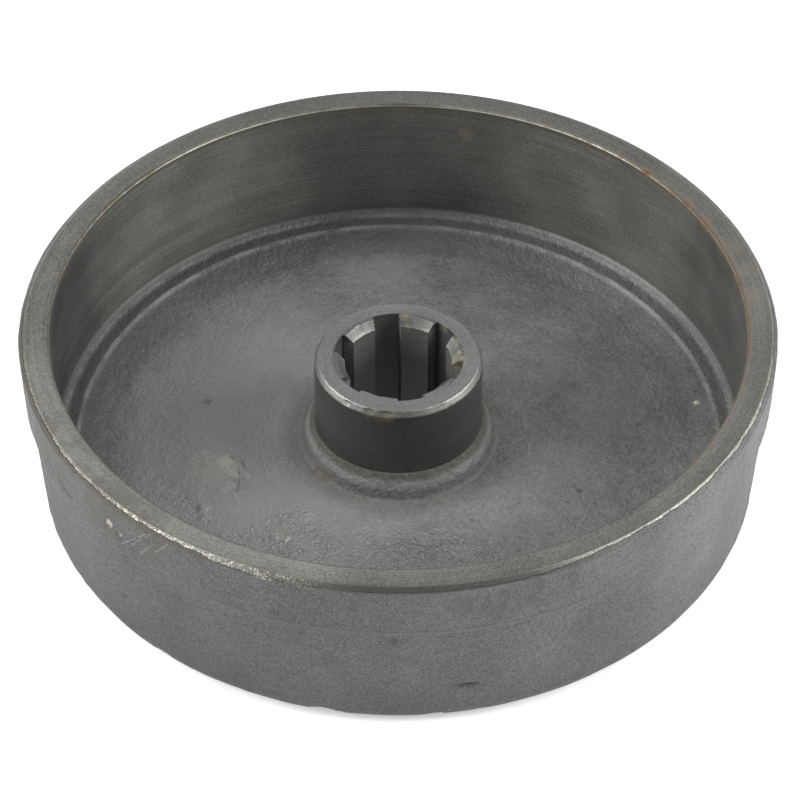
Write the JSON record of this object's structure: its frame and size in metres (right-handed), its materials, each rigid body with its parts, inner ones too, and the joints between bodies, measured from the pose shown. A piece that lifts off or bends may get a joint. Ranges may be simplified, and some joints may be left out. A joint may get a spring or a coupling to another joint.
{
  "type": "brake drum",
  "caption": "Cup-shaped cast-iron drum with a turned inner wall, a chamfered lip and a short hub with a straight-sided splined bore, open at one side.",
  "frame": {"origin": "on the drum's axis, in the plane of the back face that it stands on", "axes": "+Z along the axis, out of the open mouth; +X through the middle of one spline slot"},
  "size_m": [0.1954, 0.1954, 0.051],
  "materials": {
    "ring_iron": "sand-cast outside, fine-turned lip and inner wall, light oil film",
    "web_iron": "as cast, shot-blasted, low bumps",
    "hub_iron": "turned and lightly oiled, bore broached"
  },
  "bodies": {
    "root": {"brake_ring": "ring_iron", "back_ring": "ring_iron", "web_plate": "web_iron", "hub_collar": "web_iron", "splined_hub": "hub_iron"}
  },
  "joints": []
}
